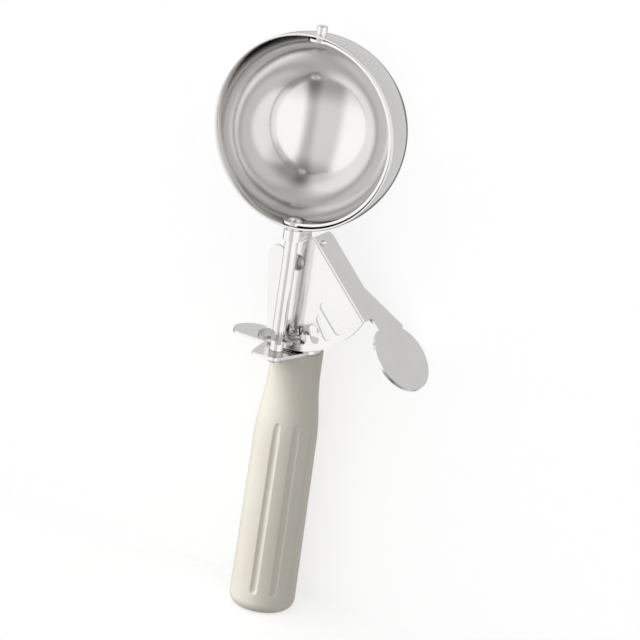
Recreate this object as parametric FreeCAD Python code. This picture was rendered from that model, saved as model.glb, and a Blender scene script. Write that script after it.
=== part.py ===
import FreeCAD, Part
import math
import os

V = FreeCAD.Vector
TOUCH = 0.01
TENTH = 0.1

# Lever ice cream scoop, millimetres.
# The row's origin is the middle of the handle's flat end, +Z runs up the handle to the bowl,
# the bowl opens towards -Y and the thumb lever stands on the +X side.
# The mechanism is drawn with its own zero where the scraper shaft meets the top of the
# finger rest plate, and is put into the row's frame by save().

# Handle
HANDLE_LENGTH = 99.3
HANDLE_TOP_R = 9.3
HANDLE_GRIP_R = 11.45
HANDLE_END_R = 12.0
HANDLE_COLLAR = 7.0
HANDLE_SHOULDER = 35.0
HANDLE_END_ROUND = 4.0
HANDLE_TOP_ROUND = 0.6
FLUTE_R = 1.6
FLUTE_DEPTH = 0.8
FLUTE_EDGE = 0.5
FLUTE_PITCH = 36.0
FLUTES_IN_GROUP = 3
FLUTE_FIRST_ANGLE = -82.0
FLUTE_GROUPS = 2
FLUTE_FOOT = 9.0
FLUTE_HEAD = 27.0

# Handle rod, which clamps the frame to the handle
ROD_R = 2.5
ROD_DEPTH = 62.0
ROD_HEAD_R = 3.9
ROD_HEAD_HEIGHT = 2.0

# Finger rest plate
SHAFT_OFFSET = 17.8
PLATE_T = 1.2
LOBE_LEFT = 8.2
LOBE_RIGHT = 1.8
LOBE_RIGHT_BACK = 6.0
REAR_ANGLES = (-37.0, 8.0, 53.0)
LOBE_FRONT = 3.7
LOBE_CORNER_R = 3.0
LOBE_RIGHT_CORNER_R = 1.4
NOTCH_LEFT = 10.2
NOTCH_GAP = 1.0
REST_REACH = 26.3
REST_END_R = 7.6
REST_SHIFT = 1.6
PLATE_MARGIN = 0.8

# Back plate, the sheet upright behind the mechanism
SHEET_T = 1.5
SECTOR_GAP = 0.55
UPRIGHT_FOOT_LEFT = 8.3
UPRIGHT_LEAN = 6.8
UPRIGHT_RIGHT = 6.5
EAR_WIDTH = 6.5
EAR_TOP = 36.7
EAR_SLIT = 1.3
NECK_GAP = 1.0
NECK_LEFT = 4.6
NECK_RIGHT = 1.4
NECK_TOP_LEFT = 7.0
NECK_TOP_RIGHT = 5.0
NECK_STEP = 1.2
NECK_FLARE = 2.4
FOOT_LENGTH = 17.5
FOOT_HALF_WIDTH = 6.0
FOOT_CORNER_R = 3.6
BEND_R = 1.9
FOOT_RIVET_R = 1.2
FOOT_RIVET_HEAD_R = 2.0
FOOT_RIVET_HEAD = 0.8
FOOT_RIVET_SPACING = 7.6
FOOT_RIVET_BACK = 4.9

# Bowl
BOWL_R = 33.7
BOWL_WALL = 0.8
BOWL_LIP = 4.0
SADDLE_T = 1.0
SADDLE_HALF_WIDTH = 9.0
SADDLE_CORNER_R = 4.5
SADDLE_FRONT = 4.4
SADDLE_BACK = 15.5

# Scraper shaft and its bearings
SHAFT_R = 2.38
RUNNING_FIT = 0.06
JOURNAL_R = 1.6
FOOT_BUSH_R = 2.65
FOOT_BUSH_HEIGHT = 2.0
FOOT_BUSH_SPIGOT_R = 2.2
RING_R = 2.6
RING_T = 0.8
RING_GAP = 0.15
JOURNAL_TIP = 0.5
STRAP_T = 0.9
STRAP_HEIGHT = 3.8
STRAP_CLEARANCE = 0.35

# Lever: slotted sector, folded arm and thumb pad
PIVOT_HEIGHT = 33.0
SECTOR_T = 1.1
SECTOR_R = 32.1
SECTOR_LEFT_ANGLE = -8.0
SECTOR_CORNER_R = 1.6
HUB_R = 5.6
SLOT_PITCH = 10.2
SLOT_FIRST = 2.6
SLOT_WIDTH = 3.3
SLOT_OUTER_R = 29.6
SLOT_INNER_R = (22.8, 22.8, 22.8, 20.2, 16.8)
FOLD_OFFSET = 10.9
FOLD_TOP = 4.2
FOLD_ROUND = 0.9
ARM_DEPTH = 13.0
ARM_FRONT = 6.3
ARM_FLARE_START = 11.0
ARM_FLARE_END = 7.0
ARM_FLARE_WIDTH = 12.4
ARM_ROUND = 2.4
ARM_CROTCH_R = 1.2
PAD_CENTRE = 17.1
PAD_LENGTH_R = 12.7
PAD_WIDTH_R = 15.9
LEG_HOLE_LENGTH = 2.6
LEG_HOLE_BACK = 3.0

# Pinion, a stamped star wheel with a plain part that never meets the sector
WHEEL_TOP = 7.6
WHEEL_T = 1.2
TOOTH_PITCH = 36.0
TOOTH_TIP_R = 8.2
TOOTH_ROOT_R = 4.3
TOOTH_WIDTH = 2.1
PLAIN_R = 7.2
PLAIN_START = 143.0
PLAIN_END = 250.0

# Pivot stack
RIVET_R = 2.0
RIVET_HEAD_R = 2.7
RIVET_HEAD = 1.0
BUSHING_WALL = 1.0
WASHER_R = 4.2
AXIAL_PLAY = 0.1
SLEEVE_R = 3.0
REAR_WASHER_R = 5.2
REAR_WASHER_T = 0.8

# Return spring
WIRE_R = 0.55
COIL_R = 3.9
COIL_TURNS = 3
COIL_PITCH = 1.6
COIL_GAP = 0.8
LEG_REACH = 1.9
HOOK_DROP = 11.0
HOOK_BEND_R = 1.3
HOOK_REACH = 0.2
LEG_EASE = 1.95
PATH_STEP = 0.35
NEIGHBOUR_STEPS = 12
WIRE_HOLE_CLEARANCE = 0.25

# Scraper blade
BLADE_T = 0.9
BLADE_WIDTH = 5.4
BLADE_LUG_R = 4.2
BLADE_GAP = 0.32
BLADE_RIVET_R = 1.6
BLADE_RIVET_HEAD_R = 3.0
BLADE_RIVET_HEAD = 1.1
TOP_PIN_R = 1.9
TOP_PIN_REACH = 3.0
TOP_PIN_ROUND = 0.6

# Sizes that follow from the ones above
LEVER_RATIO = TOOTH_PITCH / SLOT_PITCH
WHEEL_MID = WHEEL_TOP - WHEEL_T / 2
SECTOR_MID_Y = (PIVOT_HEIGHT - WHEEL_MID) * SLOT_PITCH / TOOTH_PITCH
SECTOR_FRONT_Y = SECTOR_MID_Y - SECTOR_T / 2
SECTOR_BACK_Y = SECTOR_MID_Y + SECTOR_T / 2
UPRIGHT_FRONT_Y = SECTOR_BACK_Y + SECTOR_GAP
UPRIGHT_BACK_Y = UPRIGHT_FRONT_Y + SHEET_T
FOLD_ANGLE = SLOT_FIRST + (len(SLOT_INNER_R) - 1) * SLOT_PITCH
FOLD_TURN = math.radians(FOLD_ANGLE)
FOLD_TOP_X = FOLD_OFFSET * math.cos(FOLD_TURN) - FOLD_TOP * math.sin(FOLD_TURN)
FOLD_TOP_Z = FOLD_OFFSET * math.sin(FOLD_TURN) + FOLD_TOP * math.cos(FOLD_TURN)
FAN_EDGE_TURN = math.atan2(FOLD_TOP_Z, FOLD_TOP_X) + math.acos(HUB_R / math.hypot(FOLD_TOP_X, FOLD_TOP_Z))
SHAFT_HOLE_R = SHAFT_R + RUNNING_FIT
STRAP_OUTER_R = SHAFT_HOLE_R + STRAP_T
# Height above the pivot where the fan's upper edge passes the strap, and the strap clear of it,
# on a whole tenth of a millimetre
FAN_EDGE_RISE = (HUB_R - STRAP_OUTER_R * math.cos(FAN_EDGE_TURN)) / math.sin(FAN_EDGE_TURN)
STRAP_LOW = PIVOT_HEIGHT + math.ceil((FAN_EDGE_RISE + STRAP_CLEARANCE) / TENTH) * TENTH
BOWL_OUTER_R = BOWL_R + BOWL_WALL
BOWL_BOTTOM = STRAP_LOW + STRAP_HEIGHT + SADDLE_T
BOWL_HEIGHT = BOWL_BOTTOM + BOWL_OUTER_R
BUSHING_R = RIVET_R + RUNNING_FIT + BUSHING_WALL
LEG_HOLE_R = WIRE_R + WIRE_HOLE_CLEARANCE
COIL_FRONT_Y = UPRIGHT_BACK_Y + COIL_GAP
BLADE_OUTER_R = math.sqrt((BOWL_R - BLADE_GAP) ** 2 - BLADE_LUG_R ** 2)
BLADE_INNER_R = BLADE_OUTER_R - BLADE_T
HOOK_LEG_ANGLE = math.pi
PIVOT = V(0, 0, PIVOT_HEIGHT)
SPHERE_CENTRE = V(0, 0, BOWL_HEIGHT)


def polar(radius, degrees, y=0.0):
    """A point of the lever's plane, at an angle from straight down towards +X."""
    angle = math.radians(degrees)
    return V(radius * math.sin(angle), y, PIVOT_HEIGHT - radius * math.cos(angle))


def flat(radius, degrees, z=0.0):
    """A point of a level plane, at an angle from +X towards +Y."""
    angle = math.radians(degrees)
    return V(radius * math.cos(angle), radius * math.sin(angle), z)


def line(start, end):
    return Part.LineSegment(start, end).toShape()


def arc(start, middle, end):
    return Part.Arc(start, middle, end).toShape()


def chain(points):
    """Straight edges through points, one after another."""
    return [line(start, end) for start, end in zip(points, points[1:])]


def plate(edges, thickness):
    """A flat outline pushed along a vector into a sheet."""
    return Part.Face(Part.Wire(edges)).extrude(thickness)


def cylinder(radius, start, end):
    span = end - start
    return Part.makeCylinder(radius, span.Length, start, span)


def tube(outer, inner, start, end):
    return cylinder(outer, start, end).cut(cylinder(inner, start, end))


def dome(radius, height, base, direction):
    """A rivet head: a low dome that stands on base and points along direction."""
    sphere_r = (radius ** 2 + height ** 2) / (2 * height)
    centre = base + direction * (height - sphere_r)
    slab = cylinder(radius, base, base + direction * height)
    return slab.common(Part.makeSphere(sphere_r, centre))


def round_edges(shape, radius, wanted):
    """Fillet the edges whose middle passes the test."""
    edges = [edge for edge in shape.Edges if wanted(edge, edge.valueAt(middle_parameter(edge)))]
    return shape.makeFillet(radius, edges)


def middle_parameter(edge):
    return (edge.FirstParameter + edge.LastParameter) / 2


def is_straight_along(edge, direction):
    if not isinstance(edge.Curve, (Part.Line, Part.LineSegment)):
        return False
    return abs(abs(edge.tangentAt(edge.FirstParameter).dot(direction)) - 1) < 1e-6


def save(name, shape):
    """Move a solid from the mechanism's zero to the row's frame and write it."""
    placed = shape.removeSplitter()
    placed.translate(V(0, -SHAFT_OFFSET, HANDLE_LENGTH + PLATE_T))
    placed.exportStep(os.path.join("parts", name + ".step"))
    print(name, len(placed.Solids), "solids", round(placed.Volume, 1), "mm3", placed.isValid())


def handle():
    """Moulded grip: a turned body with groups of round-ended flutes and a bore for the rod."""
    bottom = -PLATE_T - HANDLE_LENGTH
    top = -PLATE_T
    collar = V(HANDLE_TOP_R, 0, top - HANDLE_COLLAR)
    shoulder = V(HANDLE_GRIP_R, 0, top - HANDLE_SHOULDER)
    end = V(HANDLE_END_R, 0, bottom)
    profile = [line(V(0, 0, bottom), end), line(end, shoulder)]
    profile += biarc(shoulder, (shoulder - end).normalize(), collar, V(0, 0, 1))
    profile += chain([collar, V(HANDLE_TOP_R, 0, top), V(0, 0, top), V(0, 0, bottom)])
    body = Part.Face(Part.Wire(profile)).revolve(V(0, 0, 0), V(0, 0, 1), 360)
    body = round_edges(body, HANDLE_END_ROUND, lambda edge, at: edge.Closed and abs(at.z - bottom) < TOUCH)
    body = round_edges(body, HANDLE_TOP_ROUND, lambda edge, at: edge.Closed and abs(at.z - top) < TOUCH)
    sunk = FLUTE_R - FLUTE_DEPTH
    for group in range(FLUTE_GROUPS):
        for index in range(FLUTES_IN_GROUP):
            angle = FLUTE_FIRST_ANGLE + FLUTE_PITCH * index + 360.0 / FLUTE_GROUPS * group
            low = flat(handle_radius(bottom + FLUTE_FOOT) + sunk, angle, bottom + FLUTE_FOOT)
            high = flat(handle_radius(top - FLUTE_HEAD) + sunk, angle, top - FLUTE_HEAD)
            cutter = cylinder(FLUTE_R, low, high)
            cutter = cutter.fuse(Part.makeSphere(FLUTE_R, low)).fuse(Part.makeSphere(FLUTE_R, high))
            body = body.cut(cutter)
    body = round_edges(body, FLUTE_EDGE, is_flute_rim)
    body = body.cut(cylinder(ROD_R, V(0, 0, top - ROD_DEPTH), V(0, 0, top)))
    body.translate(V(0, SHAFT_OFFSET, 0))
    return body


def is_flute_rim(edge, at):
    """True for an edge where a flute's wall meets the grip's skin."""
    low = FLUTE_FOOT - 2 * FLUTE_R
    high = HANDLE_LENGTH - FLUTE_HEAD + 2 * FLUTE_R
    rise = at.z + PLATE_T + HANDLE_LENGTH
    proud = math.hypot(at.x, at.y) - handle_radius(at.z)
    return not edge.Closed and low < rise < high and abs(proud) < FLUTE_DEPTH / 6


def handle_radius(z):
    """The grip's radius at a height, where its flutes are."""
    rise = z + PLATE_T + HANDLE_LENGTH
    span = HANDLE_LENGTH - HANDLE_SHOULDER
    return HANDLE_END_R - (HANDLE_END_R - HANDLE_GRIP_R) * rise / span


def handle_rod():
    """The rod in the handle, with the riveted head that clamps the back plate's foot."""
    foot = V(0, SHAFT_OFFSET, SHEET_T)
    head = dome(ROD_HEAD_R, ROD_HEAD_HEIGHT, foot, V(0, 0, 1))
    return cylinder(ROD_R, V(0, SHAFT_OFFSET, -PLATE_T - ROD_DEPTH), foot).fuse(head)


def finger_rest_plate():
    """Flat plate on the handle, with a lobe under the shaft and a tongue for the finger."""
    rest_x = REST_END_R - REST_REACH
    rest_y = SHAFT_OFFSET + REST_SHIFT
    notch = V(-NOTCH_LEFT, UPRIGHT_BACK_Y + NOTCH_GAP, 0)
    rear_r = HANDLE_TOP_R - PLATE_MARGIN
    right = V(LOBE_RIGHT_BACK, SHAFT_OFFSET - rear_r, 0)
    right_front, right_bulge, right_back = [flat(rear_r, angle) + V(0, SHAFT_OFFSET, 0)
                                            for angle in REAR_ANGLES]
    rest_back = V(rest_x, rest_y + REST_END_R, 0)
    rest_front = V(rest_x, rest_y - REST_END_R, 0)
    lobe = [V(-LOBE_LEFT, -LOBE_FRONT, 0), V(LOBE_RIGHT, -LOBE_FRONT, 0)]
    edges = chain([rest_front, notch, lobe[0], lobe[1], right, right_front])
    edges.append(arc(right_front, right_bulge, right_back))
    edges += chain([right_back, rest_back])
    edges.append(arc(rest_back, V(rest_x - REST_END_R, rest_y, 0), rest_front))
    sheet = plate(edges, V(0, 0, -PLATE_T))
    up = V(0, 0, 1)
    sheet = round_edges(sheet, LOBE_CORNER_R, lambda edge, at: is_straight_along(edge, up)
                        and abs(at.x + LOBE_LEFT) < TOUCH and abs(at.y + LOBE_FRONT) < TOUCH)
    sheet = round_edges(sheet, LOBE_RIGHT_CORNER_R, lambda edge, at: is_straight_along(edge, up)
                        and abs(at.x - LOBE_RIGHT) < TOUCH and abs(at.y + LOBE_FRONT) < TOUCH)
    sheet = sheet.cut(cylinder(FOOT_BUSH_SPIGOT_R, V(0, 0, -PLATE_T), V(0, 0, 0)))
    sheet = sheet.cut(cylinder(ROD_R, V(0, SHAFT_OFFSET, -PLATE_T), V(0, SHAFT_OFFSET, 0)))
    for rivet in foot_rivet_places():
        sheet = sheet.cut(cylinder(FOOT_RIVET_R, rivet - up * PLATE_T, rivet))
    return sheet


def foot_rivet_places():
    y = SHAFT_OFFSET - FOOT_RIVET_BACK
    return [V(side * FOOT_RIVET_SPACING / 2, y, 0) for side in (-1, 1)]


def foot_rivets():
    """Two rivets that hold the back plate's foot on the finger rest plate."""
    solids = []
    for place in foot_rivet_places():
        top = place + V(0, 0, SHEET_T)
        head = dome(FOOT_RIVET_HEAD_R, FOOT_RIVET_HEAD, top, V(0, 0, 1))
        solids.append(cylinder(FOOT_RIVET_R, place - V(0, 0, PLATE_T), top).fuse(head))
    return Part.makeCompound(solids)


def ear_geometry():
    """The upright's left foot, its left edge's direction, its width's direction and the ear's end."""
    lean = math.radians(UPRIGHT_LEAN)
    along = V(-math.sin(lean), 0, math.cos(lean))
    across = V(math.cos(lean), 0, math.sin(lean))
    foot = V(-UPRIGHT_FOOT_LEFT, 0, 0)
    reach = (EAR_TOP - EAR_WIDTH / 2 - across.z * EAR_WIDTH / 2) / along.z
    end = foot + along * reach + across * (EAR_WIDTH / 2)
    return foot, along, across, end


def back_plate():
    """Upright with its spring ear, narrow neck to the bowl and a foot bent back over the handle."""
    foot, along, across, end = ear_geometry()
    ear_left = end - across * (EAR_WIDTH / 2)
    ear_right = end + across * (EAR_WIDTH / 2)
    normal = arm_normal()
    clear = FOLD_OFFSET - SECTOR_T - NECK_GAP
    waist_low = PIVOT_HEIGHT + (clear - UPRIGHT_RIGHT * normal.x) / normal.z
    waist_high = PIVOT_HEIGHT + (clear - NECK_RIGHT * normal.x) / normal.z
    slit_low = V(-NECK_LEFT - EAR_SLIT, 0, PIVOT_HEIGHT - EAR_SLIT)
    neck_low = V(-NECK_LEFT, 0, PIVOT_HEIGHT - EAR_SLIT)
    narrow = waist_high + NECK_STEP
    wide = narrow + NECK_FLARE
    top = BOWL_HEIGHT
    edges = [arc(ear_left, end + along * (EAR_WIDTH / 2), ear_right)]
    edges += chain([ear_right, slit_low])
    edges.append(arc(slit_low, (slit_low + neck_low) * 0.5 - V(0, 0, EAR_SLIT / 2), neck_low))
    edges += chain([
        neck_low, V(-NECK_LEFT, 0, narrow), V(-NECK_TOP_LEFT, 0, wide), V(-NECK_TOP_LEFT, 0, top),
        V(NECK_TOP_RIGHT, 0, top), V(NECK_TOP_RIGHT, 0, wide), V(NECK_RIGHT, 0, narrow),
        V(NECK_RIGHT, 0, waist_high), V(UPRIGHT_RIGHT, 0, waist_low), V(UPRIGHT_RIGHT, 0, 0),
        foot, ear_left,
    ])
    upright = plate(edges, V(0, SHEET_T, 0))
    upright.translate(V(0, UPRIGHT_FRONT_Y, 0))
    upright = upright.cut(Part.makeSphere(BOWL_OUTER_R + SADDLE_T, SPHERE_CENTRE))
    back = UPRIGHT_FRONT_Y + FOOT_LENGTH
    sheet_foot = Part.makeBox(2 * FOOT_HALF_WIDTH, FOOT_LENGTH, SHEET_T,
                              V(-FOOT_HALF_WIDTH, UPRIGHT_FRONT_Y, 0))
    sheet_foot = round_edges(sheet_foot, FOOT_CORNER_R, lambda edge, at:
                             is_straight_along(edge, V(0, 0, 1)) and at.y > back - TOUCH)
    body = upright.fuse(sheet_foot).removeSplitter()
    body = round_edges(body, BEND_R, lambda edge, at: is_straight_along(edge, V(1, 0, 0))
                       and abs(at.z) < TOUCH and abs(at.y - UPRIGHT_FRONT_Y) < TOUCH
                       and edge.Length > FOOT_HALF_WIDTH)
    body = body.cut(cylinder(RIVET_R, PIVOT, PIVOT + V(0, 2 * UPRIGHT_BACK_Y, 0)))
    hook = hook_place()
    body = body.cut(cylinder(LEG_HOLE_R, hook, hook + V(0, 2 * UPRIGHT_BACK_Y, 0)))
    body = body.cut(cylinder(ROD_R, V(0, SHAFT_OFFSET, 0), V(0, SHAFT_OFFSET, SHEET_T)))
    for rivet in foot_rivet_places():
        body = body.cut(cylinder(FOOT_RIVET_R, rivet, rivet + V(0, 0, SHEET_T)))
    return body


def bowl():
    """Spun half sphere with a short straight lip and a hole at each end of the scraper's axis."""
    centre = SPHERE_CENTRE
    outer = BOWL_OUTER_R
    profile = [
        arc(V(0, outer, 0), V(outer * math.sqrt(0.5), outer * math.sqrt(0.5), 0), V(outer, 0, 0)),
        line(V(outer, 0, 0), V(outer, -BOWL_LIP, 0)),
        line(V(outer, -BOWL_LIP, 0), V(BOWL_R, -BOWL_LIP, 0)),
        line(V(BOWL_R, -BOWL_LIP, 0), V(BOWL_R, 0, 0)),
        arc(V(BOWL_R, 0, 0), V(BOWL_R * math.sqrt(0.5), BOWL_R * math.sqrt(0.5), 0), V(0, BOWL_R, 0)),
        line(V(0, BOWL_R, 0), V(0, outer, 0)),
    ]
    shell = Part.Face(Part.Wire(profile)).revolve(V(0, 0, 0), V(0, 1, 0), 360)
    shell.translate(centre)
    shell = shell.cut(cylinder(SHAFT_HOLE_R, centre - V(0, 0, outer + 1), centre))
    return shell.cut(cylinder(TOP_PIN_R + RUNNING_FIT, centre, centre + V(0, 0, outer + 1)))


def bowl_saddle():
    """Curved pad between the back plate's neck and the underside of the bowl."""
    patch = Part.makeSphere(BOWL_OUTER_R + SADDLE_T, SPHERE_CENTRE)
    patch = patch.cut(Part.makeSphere(BOWL_OUTER_R, SPHERE_CENTRE))
    block = Part.makeBox(2 * SADDLE_HALF_WIDTH, SADDLE_BACK - SADDLE_FRONT, BOWL_OUTER_R,
                         V(-SADDLE_HALF_WIDTH, SADDLE_FRONT, BOWL_BOTTOM - SADDLE_T))
    block = round_edges(block, SADDLE_CORNER_R,
                        lambda edge, at: is_straight_along(edge, V(0, 0, 1)))
    return patch.common(block)


def shaft_strap():
    """Sheet strap that wraps the shaft under the bowl and butts on the back plate's neck."""
    inner = SHAFT_HOLE_R
    outer = STRAP_OUTER_R
    low = STRAP_LOW
    edges = [arc(V(-outer, 0, low), V(0, -outer, low), V(outer, 0, low))]
    edges += chain([V(outer, 0, low), V(outer, UPRIGHT_FRONT_Y, low), V(inner, UPRIGHT_FRONT_Y, low),
                    V(inner, 0, low)])
    edges.append(arc(V(inner, 0, low), V(0, -inner, low), V(-inner, 0, low)))
    edges += chain([V(-inner, 0, low), V(-inner, UPRIGHT_FRONT_Y, low), V(-outer, UPRIGHT_FRONT_Y, low),
                    V(-outer, 0, low)])
    return plate(edges, V(0, 0, STRAP_HEIGHT))


def foot_bush():
    """Flanged bush in the finger rest plate that carries the shaft's journal."""
    bush = cylinder(FOOT_BUSH_R, V(0, 0, 0), V(0, 0, FOOT_BUSH_HEIGHT))
    bush = bush.fuse(cylinder(FOOT_BUSH_SPIGOT_R, V(0, 0, -PLATE_T), V(0, 0, 0)))
    return bush.cut(cylinder(JOURNAL_R + RUNNING_FIT, V(0, 0, -PLATE_T), V(0, 0, FOOT_BUSH_HEIGHT)))


def retaining_ring():
    """Ring on the journal's end, under the finger rest plate."""
    top = -PLATE_T - RING_GAP
    return tube(RING_R, JOURNAL_R, V(0, 0, top - RING_T), V(0, 0, top))


def scraper_shaft():
    """Drive shaft with a turned journal below and a riveted spigot above."""
    shoulder = FOOT_BUSH_HEIGHT + AXIAL_PLAY
    ring_bottom = -PLATE_T - RING_GAP - RING_T
    lug = BOWL_HEIGHT - BLADE_OUTER_R
    shaft = cylinder(SHAFT_R, V(0, 0, shoulder), V(0, 0, lug + BLADE_T / 2))
    shaft = shaft.fuse(cylinder(JOURNAL_R, V(0, 0, ring_bottom - JOURNAL_TIP), V(0, 0, shoulder)))
    shaft = shaft.cut(blade_shell())
    return shaft.fuse(cylinder(BLADE_RIVET_R, V(0, 0, lug - BLADE_T), V(0, 0, lug + BLADE_T)))


def pinion():
    """Star wheel: five radial teeth and a plain round part, stamped from one sheet."""
    low = WHEEL_TOP - WHEEL_T
    wheel = cylinder(TOOTH_ROOT_R, V(0, 0, low), V(0, 0, WHEEL_TOP))
    half = TOOTH_WIDTH / 2
    first = 90.0 - SLOT_FIRST * LEVER_RATIO
    for index in range(len(SLOT_INNER_R)):
        straight = TOOTH_TIP_R - half
        tooth = Part.makeBox(straight, TOOTH_WIDTH, WHEEL_T, V(0, -half, low))
        tip = cylinder(half, V(straight, 0, low), V(straight, 0, WHEEL_TOP))
        tooth = tooth.fuse(tip)
        tooth.rotate(V(0, 0, 0), V(0, 0, 1), first - TOOTH_PITCH * index)
        wheel = wheel.fuse(tooth)
    sweep = PLAIN_END - PLAIN_START
    plain = Part.makeCylinder(PLAIN_R, WHEEL_T, V(0, 0, low), V(0, 0, 1), sweep)
    plain.rotate(V(0, 0, 0), V(0, 0, 1), PLAIN_START)
    wheel = wheel.fuse(plain)
    return wheel.cut(cylinder(SHAFT_R, V(0, 0, low), V(0, 0, WHEEL_TOP)))


def arm_point(along, back):
    """A point of the folded arm's outer face: along the fold from its foot, and back from it."""
    down = V(math.sin(FOLD_TURN), 0, -math.cos(FOLD_TURN))
    return PIVOT + arm_normal() * FOLD_OFFSET + down * along + V(0, SECTOR_FRONT_Y + back, 0)


def arm_normal():
    return V(math.cos(FOLD_TURN), 0, math.sin(FOLD_TURN))


def tangent_point(radius, point, side):
    """Where the tangent from a point of the lever's plane touches a circle round the pivot."""
    offset = point - PIVOT
    reach = math.hypot(offset.x, offset.z)
    angle = math.atan2(offset.z, offset.x) + side * math.acos(radius / reach)
    return V(radius * math.cos(angle), 0, PIVOT_HEIGHT + radius * math.sin(angle))


def sector():
    """The slotted fan that drives the pinion."""
    corner_reach = math.sqrt(SECTOR_R ** 2 - FOLD_OFFSET ** 2)
    corner = arm_point(corner_reach, -SECTOR_FRONT_Y)
    top = arm_point(-FOLD_TOP, -SECTOR_FRONT_Y)
    left = polar(SECTOR_R, SECTOR_LEFT_ANGLE)
    corner_angle = FOLD_ANGLE + math.degrees(math.asin(FOLD_OFFSET / SECTOR_R))
    hub_top = tangent_point(HUB_R, top, 1)
    hub_left = tangent_point(HUB_R, left, -1)
    middle_angle = (math.atan2(hub_top.z - PIVOT_HEIGHT, hub_top.x)
                    + math.atan2(hub_left.z - PIVOT_HEIGHT, hub_left.x) % (2 * math.pi)) / 2
    hub_middle = PIVOT + V(math.cos(middle_angle), 0, math.sin(middle_angle)) * HUB_R
    edges = [arc(left, polar(SECTOR_R, (SECTOR_LEFT_ANGLE + corner_angle) / 2), corner)]
    edges += chain([corner, top, hub_top])
    edges.append(arc(hub_top, hub_middle, hub_left))
    edges += chain([hub_left, left])
    fan = plate(edges, V(0, SECTOR_T, 0))
    fan = round_edges(fan, SECTOR_CORNER_R, lambda edge, at: is_straight_along(edge, V(0, 1, 0))
                      and (at - V(left.x, at.y, left.z)).Length < TOUCH)
    fan = fan.cut(cylinder(BUSHING_R, PIVOT, PIVOT + V(0, SECTOR_T, 0)))
    for index, inner in enumerate(SLOT_INNER_R):
        fan = fan.cut(slot(SLOT_FIRST + SLOT_PITCH * index, inner))
    fan.translate(V(0, SECTOR_FRONT_Y, 0))
    return fan


def slot(angle, inner):
    """A round-ended slot along a radius of the fan."""
    half = SLOT_WIDTH / 2
    low = polar(inner + half, angle)
    high = polar(SLOT_OUTER_R - half, angle)
    through = V(0, SECTOR_T, 0)
    side = (high - low).cross(V(0, 1, 0)).normalize() * half
    bar = plate(chain([low + side, high + side, high - side, low - side, low + side]), through)
    return bar.fuse(cylinder(half, low, low + through)).fuse(cylinder(half, high, high + through))


def arm():
    """The sheet folded back along the fan's edge, ending in the thumb pad."""
    reach = math.sqrt(SECTOR_R ** 2 - FOLD_OFFSET ** 2)
    middle = SHAFT_OFFSET - SECTOR_FRONT_Y
    pad_along = reach + PAD_CENTRE
    flare_end = reach + ARM_FLARE_END
    inward = arm_normal() * -SECTOR_T
    strip = plate(chain([
        arm_point(-FOLD_TOP, 0), arm_point(-FOLD_TOP, ARM_DEPTH),
        arm_point(reach - ARM_FLARE_START, ARM_DEPTH), arm_point(flare_end, middle + ARM_FLARE_WIDTH),
        arm_point(pad_along, middle), arm_point(flare_end, ARM_FRONT), arm_point(reach, ARM_FRONT),
        arm_point(reach, 0),
        arm_point(-FOLD_TOP, 0)]), inward)
    disc = Part.Ellipse(arm_point(pad_along, middle + PAD_WIDTH_R),
                        arm_point(pad_along + PAD_LENGTH_R, middle), arm_point(pad_along, middle))
    pad = plate([disc.toShape()], inward)
    body = strip.fuse(pad).removeSplitter()
    crotch = arm_point(reach, ARM_FRONT)
    body = round_edges(body, ARM_CROTCH_R, lambda edge, at: is_straight_along(edge, arm_normal())
                       and (at - crotch).Length < SECTOR_T)
    top_back = arm_point(-FOLD_TOP, ARM_DEPTH)
    return round_edges(body, ARM_ROUND, lambda edge, at: is_straight_along(edge, arm_normal())
                       and (at - top_back).Length < SECTOR_T)


def thumb_lever():
    """Lever in one folded sheet: sector, arm and thumb pad."""
    body = sector().fuse(arm()).removeSplitter()
    down = arm_point(1, 0) - arm_point(0, 0)
    front = arm_point(0, 0)
    body = round_edges(body, FOLD_ROUND, lambda edge, at: is_straight_along(edge, down)
                       and abs(at.y - front.y) < TOUCH and (at - front).cross(down).Length < TOUCH)
    hole = leg_hole_centre()
    low = hole - arm_normal() * SECTOR_T
    high = hole + arm_normal() * SECTOR_T
    side = V(0, (LEG_HOLE_LENGTH - 2 * LEG_HOLE_R) / 2, 0)
    down = down * LEG_HOLE_R
    cutter = plate(chain([low + side + down, low - side + down, low - side - down,
                          low + side - down, low + side + down]), high - low)
    for end in (side, side * -1):
        cutter = cutter.fuse(cylinder(LEG_HOLE_R, low + end, high + end))
    return body.cut(cutter)


def leg_hole_centre():
    """Middle of the spring leg's hole, in the middle of the arm's sheet."""
    at = arm_point(-FOLD_TOP + LEG_HOLE_BACK, 0) - arm_normal() * (SECTOR_T / 2)
    return V(at.x, COIL_FRONT_Y, at.z)


def lever_bushing():
    """Sleeve pressed into the fan's hub."""
    return tube(BUSHING_R, RIVET_R + RUNNING_FIT, PIVOT + V(0, SECTOR_FRONT_Y, 0),
                PIVOT + V(0, SECTOR_BACK_Y, 0))


def pivot_rivet():
    """Rivet that carries the lever, the washers and the spring's sleeve."""
    head_y = SECTOR_FRONT_Y - AXIAL_PLAY
    end_y = UPRIGHT_BACK_Y + sleeve_length() + REAR_WASHER_T
    rivet = cylinder(RIVET_R, PIVOT + V(0, head_y, 0), PIVOT + V(0, end_y, 0))
    rivet = rivet.fuse(dome(RIVET_HEAD_R, RIVET_HEAD, PIVOT + V(0, head_y, 0), V(0, -1, 0)))
    return rivet.fuse(dome(RIVET_HEAD_R, RIVET_HEAD, PIVOT + V(0, end_y, 0), V(0, 1, 0)))


def sleeve_length():
    return 2 * COIL_GAP + coil_advance()


def coil_advance():
    """How far back the coil reaches from its front turn to its rear turn."""
    return COIL_PITCH * coil_sweep() / (2 * math.pi)


def coil_sweep():
    """Angle the wire turns through, from the hook leg to the lever leg."""
    return 2 * math.pi * COIL_TURNS + HOOK_LEG_ANGLE - lever_leg_angle()


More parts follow.
